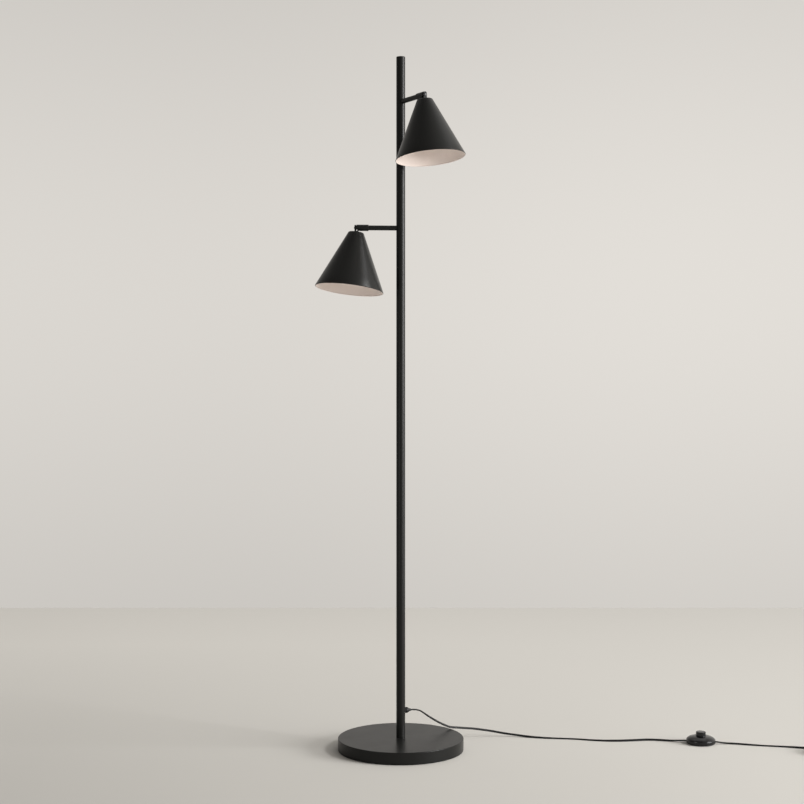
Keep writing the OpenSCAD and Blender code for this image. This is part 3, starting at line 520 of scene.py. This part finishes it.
def lead_middles(points, sizes):
    """The middle of the lead at each point of a route."""
    return [Vector((x, y, max(0, z) + sizes.lead_thickness / 2
                    + (sizes.lead_width - sizes.lead_thickness) / 2 * abs(math.sin(math.radians(roll)))))
            for x, y, z, roll in points]


def lead_section(sizes):
    """The flat lead's section: two half circles joined by its flat sides."""
    radius = sizes.lead_thickness / 2
    half = sizes.lead_width / 2 - radius
    facets = 6
    return arc((half, 0), radius, -90, 90, facets) + arc((-half, 0), radius, 90, 270, facets)


def make_lead(name, points, nodes, sizes):
    """Sweep the flat lead along a route. Returns the piece and the line it follows."""
    path = lead_middles(points, sizes)
    section = lead_section(sizes)
    bm = bmesh.new()
    rings = []
    for i, (middle, point) in enumerate(zip(path, points)):
        along = heading(path, i)
        side = Matrix.Rotation(math.radians(point[3]), 3, along) @ UP.cross(along).normalized()
        rings.append([bm.verts.new(middle + side * p.x + along.cross(side) * p.y) for p in section])
    solid_bar(bm, rings)
    piece = make_piece(name, bm, "stand", "black_pvc_lead")
    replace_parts(piece, *nodes)
    return piece, path


class LAMP_OT_lead(bpy.types.Operator):
    """Lay the flat lead from the pole to the foot switch, and on to its coil and its plug"""

    bl_idname = "lamp.lead"
    bl_label = "Lead"

    def execute(self, context):
        sizes = context.scene.lamp_sizes
        points = smooth_route(LAMP_ROUTE, ROUTE_STEP)
        piece, path = make_lead("lead_to_switch", points, ["lamp_cord"], sizes)
        points = smooth_route(PLUG_ROUTE, ROUTE_STEP)[:-1]
        points += coil_turns(sizes) + smooth_route(TAIL_ROUTE, ROUTE_STEP)
        piece, path = make_lead("lead_to_plug", points, ["plug_cord", "cord_coil", "plug_tail"], sizes)
        return {"FINISHED"}


# ---- what is on the lead ----

class LAMP_OT_gland(bpy.types.Operator):
    """Mould the soft gland that seats on the round pole and holds the lead where it comes out"""

    bl_idname = "lamp.gland"
    bl_label = "Gland"

    def execute(self, context):
        low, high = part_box("lower_pole")
        pole = (high.x - low.x) / 2
        lead_out = Vector(LAMP_ROUTE[0][:2])
        tip = lead_out.length
        out = lead_out.to_3d().normalized()
        across = UP.cross(out)
        height = LAMP_ROUTE[0][2] + context.scene.lamp_sizes.lead_thickness / 2
        # Radii of the lead's hole, the neck in the pole's hole, the foot on the pole's skin and its edge.
        bore, neck, foot, foot_edge = 0.0026, 0.0041, 0.0059, 0.0061
        foot_gap, edge_gap = 0.00002, 0.00022
        segments = 40
        # Distance from the pole's axis and radius: the neck inside the pole, then the swell and the tip.
        inside = [(0.0066, bore), (0.0066, neck), (0.0076, neck)]
        swell = [(0.0107, 0.00605), (0.0115, 0.00645), (0.0128, 0.0066), (0.0142, 0.0064),
                 (0.0157, 0.00585), (0.0171, 0.005), (0.0183, 0.0041), (0.0193, 0.00345),
                 (0.0206, 0.0031), (tip - 0.0005, 0.0029), (tip, 0.0027), (tip, bore)]
        bm = bmesh.new()

        def ring(radius, distance=None, gap=foot_gap):
            """A ring at a distance from the pole's axis, or else a gap away from the pole's round skin."""
            made = []
            for p in circle(radius, segments):
                reach = distance or math.sqrt(pole ** 2 - p.x ** 2) + gap
                made.append(bm.verts.new(out * reach + across * p.x + UP * (height + p.y)))
            return made

        rings = [ring(radius, distance) for distance, radius in inside]
        rings += [ring(neck), ring(foot), ring(foot_edge, gap=edge_gap)]
        rings += [ring(radius, distance) for distance, radius in swell]
        bridge(bm, rings, closed=True)
        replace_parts(make_piece("lead_gland", bm, "stand", "matt_black_plastic"), "cord_gland")
        return {"FINISHED"}


class LAMP_OT_button_spring(bpy.types.Operator):
    """Wind the spring under the foot switch's button, at its rest length, which a press shortens"""

    bl_idname = "lamp.button_spring"
    bl_label = "Button spring"

    def execute(self, context):
        low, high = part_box("switch_spring")
        centre = (low + high) / 2
        wire = 0.0005
        radius = (high.x - low.x) / 2 - wire
        turns, per_turn = 5, 24
        steps = turns * per_turn
        bm = bmesh.new()
        rings = []
        for i in range(steps + 1):
            angle = 2 * math.pi * i / per_turn
            out = Vector((math.cos(angle), math.sin(angle), 0))
            climb = (high.z - low.z - 2 * wire) * i / steps
            middle = Vector((centre.x, centre.y, low.z + wire + climb)) + out * radius
            rings.append([bm.verts.new(middle + out * p.x + UP * p.y) for p in circle(wire, WIRE_FACETS)])
        solid_bar(bm, rings)
        piece = make_piece("button_spring", bm, None, "zinc_plated_steel")
        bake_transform(piece)
        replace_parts(piece, "switch_spring")
        return {"FINISHED"}


class LAMP_OT_coil_tie(bpy.types.Operator):
    """Close a flat wire tie round the coil and twist its ends"""

    bl_idname = "lamp.coil_tie"
    bl_label = "Coil tie"

    def execute(self, context):
        low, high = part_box("cord_coil")
        centre = (low + high) / 2
        sizes = context.scene.lamp_sizes
        thick, half_width, corner, gap, facets = 0.0006, 0.0022, 0.0014, 0.0001, 5
        outer = (high.x - low.x) / 2 + gap
        inner = (sizes.coil_radius - 2 * (sizes.lead_thickness + TURN_GAP)
                 - sizes.lead_thickness / 2 - 2 * gap)
        bottom, top = low.z, high.z + gap
        corners = [((outer - corner, bottom + corner), -90), ((outer - corner, top - corner), 0),
                   ((inner + corner, top - corner), 90), ((inner + corner, bottom + corner), 180)]
        bm = bmesh.new()
        rings = []
        for at, start in corners:
            for p, q in zip(arc(at, corner, start, start + 90, facets),
                            arc(at, corner + thick, start, start + 90, facets)):
                section = ((p, -half_width), (p, half_width), (q, half_width), (q, -half_width))
                rings.append([bm.verts.new((centre.x + x, centre.y - r.x, r.y)) for r, x in section])
        bridge(bm, rings, closed=True)
        root = Vector((centre.x, centre.y - outer - thick, (bottom + top) / 2))
        self.twist_ends(bm, root)
        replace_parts(make_piece("coil_wire_tie", bm, "stand", "matt_black_plastic"), "coil_tie")
        return {"FINISHED"}

    def twist_ends(self, bm, root):
        """Two strands that twist round each other from their root and part at their ends."""
        strand, length, twists, parting = 0.0007, 0.011, 3, 0.0024
        steps, twisted_steps = 36, 30
        for start in (0, math.pi):
            rings = []
            for i in range(steps + 1):
                angle = start + 2 * math.pi * twists * min(1, i / twisted_steps)
                spread = strand + parting * ease(max(0, i - twisted_steps) / (steps - twisted_steps))
                middle = root + Vector((spread * math.cos(angle), -length * i / steps,
                                        spread * math.sin(angle)))
                rings.append([bm.verts.new(middle + Vector((p.x, 0, p.y)))
                              for p in circle(strand, WIRE_FACETS)])
            solid_bar(bm, rings)


class LAMP_OT_plug(bpy.types.Operator):
    """Mould the flat plug's body, with grip ribs across its sides"""

    bl_idname = "lamp.plug"
    bl_label = "Plug"

    # Share of the length from the relief, half width and half height.
    OUTLINE = [
        (0, 0.0052, 0.0046), (0.06, 0.0068, 0.0055), (0.16, 0.0102, 0.0061), (0.28, 0.0146, 0.0066),
        (0.4, 0.0171, 0.0068), (0.6, 0.0176, 0.00685), (0.8, 0.0175, 0.0068), (0.95, 0.0172, 0.0066),
        (1, 0.0166, 0.006),
    ]

    def execute(self, context):
        low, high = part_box("plug_body")
        middle = (low + high) / 2
        length = context.scene.lamp_sizes.plug_length
        # A section's sides are flattened by these powers across and upwards.
        flat_x, flat_z = 0.55, 0.7
        steps, segments = 6, 48
        stations = []
        for stretch in stretches(self.OUTLINE):
            stations += smooth_points(stretch, steps)
        stations.append(self.OUTLINE[-1])
        bm = bmesh.new()
        rings = []
        for share, half_width, half_height in stations:
            reach = half_width - self.rib_depth(share)
            ring = []
            for p in circle(1, segments):
                x = reach * math.copysign(abs(p.x) ** flat_x, p.x)
                z = half_height * math.copysign(abs(p.y) ** flat_z, p.y)
                ring.append(bm.verts.new((middle.x + x, high.y - share * length, middle.z + z)))
            rings.append(ring)
        solid_bar(bm, rings)
        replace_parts(make_piece("moulded_plug", bm, "stand", "matt_black_plastic"), "plug_body")
        return {"FINISHED"}

    def rib_depth(self, share):
        """How deep the grip ribs cut into the sides at a share of the length."""
        first, last, pitch, deepest = 0.42, 0.84, 0.07, 0.0004
        if not first < share < last:
            return 0
        fade = math.sin(math.pi * (share - first) / (last - first))
        return deepest * fade * (0.5 - 0.5 * math.cos(2 * math.pi * (share - first) / pitch))


# ---- shades ----

def rest_swing(joint):
    """How far a head is turned at rest, in radians, from hanging straight down in its range's middle."""
    return -math.radians(sum(joint["range_deg"])) / 2


def shade_place(joint, sizes):
    """Where a shade is at rest: origin at the middle of its top, Z along its axis."""
    out = Vector(joint["axis"]).normalized()
    arm = Matrix((out, UP.cross(out), UP)).transposed().to_4x4()
    return (Matrix.Translation(joint["pos_m"]) @ arm @ Matrix.Rotation(rest_swing(joint), 4, "X")
            @ Matrix.Translation((sizes.neck_out, 0, -sizes.neck_drop))
            @ Matrix.Rotation(-sizes.shade_lean, 4, "Y"))


def shade_profile(sizes):
    """The shade's closed section as (radius, height), and how many of its points are outside."""
    top, mouth = sizes.shade_top / 2, sizes.shade_mouth / 2
    wall, tall = sizes.shade_wall, sizes.shade_height
    # Radii of the hole for the nipple, the top's rounded edge and the mouth's rolled bead.
    hole, edge, bead = 0.0041, 0.0025, 0.0009
    bead_turn = 200
    edge_facets, side_facets, bead_facets = 8, 6, 6
    slope = math.degrees(math.atan((mouth - top) / tall))
    out = Vector((math.cos(math.radians(slope)), math.sin(math.radians(slope))))
    down = Vector((out.y, -out.x))
    edge_at = (top - edge * (1 - out.y) / out.x, -edge)
    rim = Vector((mouth, -tall)) - down * bead
    bead_at = rim - out * bead
    outside = [Vector((hole, 0)), *arc(edge_at, edge, 90, slope, edge_facets)]
    corner = outside[-1]
    outside += [corner.lerp(rim, t / side_facets) for t in range(1, side_facets)]
    outside += arc(bead_at, bead, slope, -90, bead_facets)
    inside = arc(bead_at, bead, -90, slope - bead_turn, bead_facets - 1)[1:]
    start = rim - out * wall - down * bead
    inner_edge = arc(edge_at, edge - wall, slope, 90, side_facets)
    inside += [start.lerp(inner_edge[0], t / side_facets) for t in range(side_facets)]
    inside += [*inner_edge, Vector((hole, -wall))]
    return outside + inside, len(outside)


class LAMP_OT_shades(bpy.types.Operator):
    """Spin the two cone shades, coated black outside and lined white"""

    bl_idname = "lamp.shades"
    bl_label = "Shades"

    def execute(self, context):
        sizes = context.scene.lamp_sizes
        lining = baked_enamel(context.scene.lamp_colours)
        profile, outer_count = shade_profile(sizes)
        segments = 160
        turns = circle(1, segments)
        for side in SIDES:
            place = shade_place(JOINTS[side + "_swivel"], sizes)
            bm = bmesh.new()
            rings = [[bm.verts.new(place @ Vector((p.x * turn.x, p.x * turn.y, p.y))) for turn in turns]
                     for p in profile]
            for i, strip in enumerate(bridge(bm, rings, closed=True)):
                is_outside = i < outer_count - 1 or i == len(profile) - 1
                for face in strip:
                    face.material_index = 0 if is_outside else 1
            piece = make_piece(side + "_cone_shade", bm, side + "_head", "black_powder_coat", lining)
            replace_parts(piece, side + "_shade")
        return {"FINISHED"}


class LAMP_OT_swivel_leads(bpy.types.Operator):
    """Carry each inner lead across its swivel, from under the sleeve's end into the hollow neck"""

    bl_idname = "lamp.swivel_leads"
    bl_label = "Swivel leads"

    # Distance past the sleeve's end, and depth below the arm's axis, in metres.
    BEND = [
        (-0.0049, 0.0053), (-0.0042, 0.0058), (-0.003, 0.0066), (-0.0019, 0.0075), (-0.0009, 0.0086),
        (-0.0004, 0.0098),
    ]

    def execute(self, context):
        facets, step = 24, 0.0004
        section = circle(context.scene.lamp_sizes.inner_lead / 2, facets)
        last = len(self.BEND) - 1
        for side in SIDES:
            joint = JOINTS[side + "_swivel"]
            out = Vector(joint["axis"]).normalized()
            across = UP.cross(out)
            swing = rest_swing(joint)
            # The bend turns with the head, little by little, from the sleeve to the neck.
            route = smooth_route([(u, 0, -depth, swing * ease(i / last))
                                  for i, (u, depth) in enumerate(self.BEND)], step)
            path = [Vector(joint["pos_m"]) + out * u + Matrix.Rotation(turn, 3, out) @ UP * z
                    for u, _, z, turn in route]
            bm = bmesh.new()
            rings = []
            for i, middle in enumerate(path):
                upright = heading(path, i).cross(across)
                rings.append([bm.verts.new(middle + across * p.x + upright * p.y) for p in section])
            solid_bar(bm, rings)
            piece = make_piece(side + "_lead_bend", bm, None, "black_pvc_lead")
            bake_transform(piece)
        return {"FINISHED"}


class LAMP_OT_finishes(bpy.types.Operator):
    """Give each piece of the lamp the finish of its material slot"""

    bl_idname = "lamp.finishes"
    bl_label = "Finishes"

    def execute(self, context):
        colours = context.scene.lamp_colours
        # The two swivels, whose nodes have the joints' names, are electro-coated.
        dull = electro_coat(colours)
        for name, piece in frame["nodes"].items():
            piece.data.materials.clear()
            piece.data.materials.append(dull if name in JOINTS else finish_of(SLOT_OF[name]))
        self.grind_washers(frame["nodes"]["swivel_washers"], ground_steel(colours))
        return {"FINISHED"}

    def grind_washers(self, washers, ground):
        """Give the washers' faces, which are square to their arm, the ground finish."""
        washers.data.materials.append(ground)
        squareness = 0.9
        swivels = [(Vector(joint["pos_m"]), Vector(joint["axis"])) for joint in JOINTS.values()
                   if joint["type"] == "hinge"]
        for face in washers.data.polygons:
            middle = washers.matrix_world @ face.center
            _, axis = min(swivels, key=lambda swivel: (swivel[0] - middle).length)
            face.material_index = int(abs(face.normal.dot(axis)) > squareness)


# ---- camera, floor and light ----

class LAMP_OT_camera(bpy.types.Operator):
    """Set up the camera, level, in front of the lamp"""

    bl_idname = "lamp.camera"
    bl_label = "Camera"

    def execute(self, context):
        studio = context.scene.studio
        data = bpy.data.cameras.new("camera")
        data.lens = studio.lens
        data.shift_y = studio.shift
        camera = bpy.data.objects.new("camera", data)
        camera.location = (studio.aside, -studio.distance, studio.height)
        camera.rotation_euler = (math.radians(90), 0, 0)
        context.scene.collection.objects.link(camera)
        context.scene.camera = camera
        return {"FINISHED"}


def add_soft_box(name, place, aim, width, height, power):
    """Add a rectangular white light at a place, aimed at a point."""
    data = bpy.data.lights.new(name, "AREA")
    data.shape = "RECTANGLE"
    data.size = width
    data.size_y = height
    data.energy = power
    light = bpy.data.objects.new(name, data)
    light.location = place
    light.rotation_euler = (Vector(aim) - Vector(place)).to_track_quat("-Z", "Y").to_euler()
    bpy.context.scene.collection.objects.link(light)


class LAMP_OT_studio(bpy.types.Operator):
    """Build the pale floor, the wall's colour and the soft light"""

    bl_idname = "lamp.studio"
    bl_label = "Studio"

    def execute(self, context):
        studio = context.scene.studio
        self.build_floor(studio)
        self.build_world(context.scene, studio)
        for soft_box in SOFT_BOXES:
            add_soft_box(*soft_box)
        context.scene.view_settings.view_transform = "Standard"
        return {"FINISHED"}

    def build_floor(self, studio):
        """A matt floor whose far edge makes the line below the wall."""
        bm = bmesh.new()
        corners = [(-studio.floor_left, -studio.floor_front), (studio.floor_right, -studio.floor_front),
                   (studio.floor_right, studio.floor_depth), (-studio.floor_left, studio.floor_depth)]
        bm.faces.new([bm.verts.new((x, y, 0)) for x, y in corners])
        mesh = bpy.data.meshes.new("studio_floor")
        bm.to_mesh(mesh)
        bm.free()
        mesh.materials.append(self.floor_paint(studio.floor))
        floor = bpy.data.objects.new("studio_floor", mesh)
        bpy.context.scene.collection.objects.link(floor)

    def floor_paint(self, colour):
        """Matt floor paint, rolled on: dull, with a gloss that drifts a little, as on a floor in use, and painted
        light: its colour made lighter and darker across the floor where the room's light falls stronger or weaker.
        """
        material, tree, shader, place = start_material("matt_floor_paint", {"IOR": 1.25})
        cloud = add_node(tree, "TexNoise", inputs={"Scale": per_metre(350), "Detail": 4.0},
                         links={"Vector": (place, "Object")})
        vary_gloss(tree, shader, cloud, (0.78, 0.9))
        # Painted light across the floor: the colour is scaled lighter and darker from left to right near the lamp
        # and far behind it, and blended from the one to the other with the distance behind the lamp.
        parts = add_node(tree, "SeparateXYZ", links={"Vector": (place, "Object")})
        near = add_node(tree, "MapRange", links={"Value": (parts, "X")}, inputs={
            "From Min": -0.8, "From Max": 0.8, "To Min": 0.91, "To Max": 1.13})
        far = add_node(tree, "MapRange", links={"Value": (parts, "X")}, inputs={
            "From Min": -1.4, "From Max": 1.4, "To Min": 1.27, "To Max": 1.1})
        away = add_node(tree, "MapRange", inputs={"From Min": -0.4, "From Max": 1.3},
                        links={"Value": (parts, "Y")})
        painted_light_scale = add_node(tree, "Mix", links={"Factor": (away, 0), "A": (near, 0), "B": (far, 0)})
        # The floor's colour with the painted light scaled into it.
        lit_floor_colour = add_node(tree, "VectorMath", {"operation": "SCALE"}, {0: linear(colour)[:3]},
                         {"Scale": (painted_light_scale, 0)})
        tree.links.new(lit_floor_colour.outputs[0], shader.inputs["Base Color"])
        return material

    def build_world(self, scene, studio):
        """The wall as the camera, gloss and glass see it, and the room's own light from each side."""
        world = bpy.data.worlds.new("studio_world")
        world.use_nodes = True
        tree = world.node_tree
        look = add_node(tree, "TexCoord")
        pool = self.wall_pool(tree, look)
        # The room: each axis gives its share of the light from the right, the back and above.
        sides = add_node(tree, "VectorMath", {"operation": "MAXIMUM"}, links={0: (look, "Generated")})
        total = add_node(tree, "VectorMath", {"operation": "DOT_PRODUCT"},
                         {1: (studio.from_right, studio.from_back, studio.from_above)}, {0: (sides, 0)})
        # The camera and glass see the wall alone. Gloss sees a share of it, added to the room.
        rays = add_node(tree, "LightPath")
        clear = add_node(tree, "Math", {"operation": "MAXIMUM"},
                         links={0: (rays, "Is Camera Ray"), 1: (rays, "Is Transmission Ray")})
        gloss = add_node(tree, "Math", {"operation": "MULTIPLY"}, {1: studio.gloss_share},
                         {0: (rays, "Is Glossy Ray")})
        seen = add_node(tree, "Math", {"operation": "MAXIMUM"}, links={0: (gloss, 0), 1: (clear, 0)})
        shown = add_node(tree, "Math", {"operation": "MULTIPLY"}, links={0: (pool, 0), 1: (seen, 0)})
        wall = add_node(tree, "Background", inputs={"Color": linear(studio.wall)},
                        links={"Strength": (shown, 0)})
        unseen = add_node(tree, "Math", {"operation": "SUBTRACT"}, {0: 1.0}, {1: (clear, 0)})
        lit = add_node(tree, "Math", {"operation": "MULTIPLY"},
                       links={0: (total, "Value"), 1: (unseen, 0)})
        room = tree.nodes["Background"]
        room.inputs["Color"].default_value = linear(studio.wall)
        tree.links.new(lit.outputs[0], room.inputs["Strength"])
        both = add_node(tree, "AddShader", links={0: (room, 0), 1: (wall, 0)})
        tree.links.new(both.outputs[0], tree.nodes["World Output"].inputs["Surface"])
        scene.world = world

    def wall_pool(self, tree, look):
        """How bright the wall is: brightest a little above the horizon, and to the right."""
        parts = add_node(tree, "SeparateXYZ", links={"Vector": (look, "Generated")})
        pool_height = 0.07
        above = add_node(tree, "Math", {"operation": "SUBTRACT"}, {1: pool_height}, {0: (parts, "Z")})
        away = add_node(tree, "Math", {"operation": "ABSOLUTE"}, links={0: (above, 0)})
        fall = add_node(tree, "MapRange", {"interpolation_type": "SMOOTHSTEP"},
                        {"From Max": 0.35, "To Min": 1.0, "To Max": 0.78}, {"Value": (away, 0)})
        side = add_node(tree, "MapRange", {"interpolation_type": "SMOOTHSTEP"},
                        {"From Min": -0.15, "From Max": 0.2, "To Min": 0.945, "To Max": 1.024},
                        {"Value": (parts, "X")})
        return add_node(tree, "Math", {"operation": "MULTIPLY"}, links={0: (fall, 0), 1: (side, 0)})


# ---- add-on ----

class LAMP_PT_panel(bpy.types.Panel):
    """The lamp's pieces, finishes and studio"""

    bl_label = "Floor lamp"
    bl_idname = "LAMP_PT_panel"
    bl_space_type = "VIEW_3D"
    bl_region_type = "UI"
    bl_category = "Lamp"

    def draw(self, context):
        for operator in OPERATORS:
            self.layout.operator(operator.bl_idname)


GROUPS = {"lamp_sizes": LampSizes, "lamp_colours": LampColours, "studio": StudioSettings}
OPERATORS = [
    LAMP_OT_camera, LAMP_OT_gland, LAMP_OT_button_spring, LAMP_OT_coil_tie, LAMP_OT_plug, LAMP_OT_lead,
    LAMP_OT_finishes, LAMP_OT_shades, LAMP_OT_swivel_leads, LAMP_OT_studio,
]


def register():
    """Add the classes and the scene's settings."""
    for made in [*GROUPS.values(), *OPERATORS, LAMP_PT_panel]:
        bpy.utils.register_class(made)
    for name, group in GROUPS.items():
        setattr(bpy.types.Scene, name, PointerProperty(type=group))


def unregister():
    """Take the scene's settings and the classes away."""
    for name in GROUPS:
        delattr(bpy.types.Scene, name)
    for made in [LAMP_PT_panel, *reversed(OPERATORS), *reversed(GROUPS.values())]:
        bpy.utils.unregister_class(made)


def main():
    """Build everything."""
    register()
    for operator in OPERATORS:
        family, name = operator.bl_idname.split(".")
        getattr(getattr(bpy.ops, family), name)()


if __name__ == "__main__":
    main()
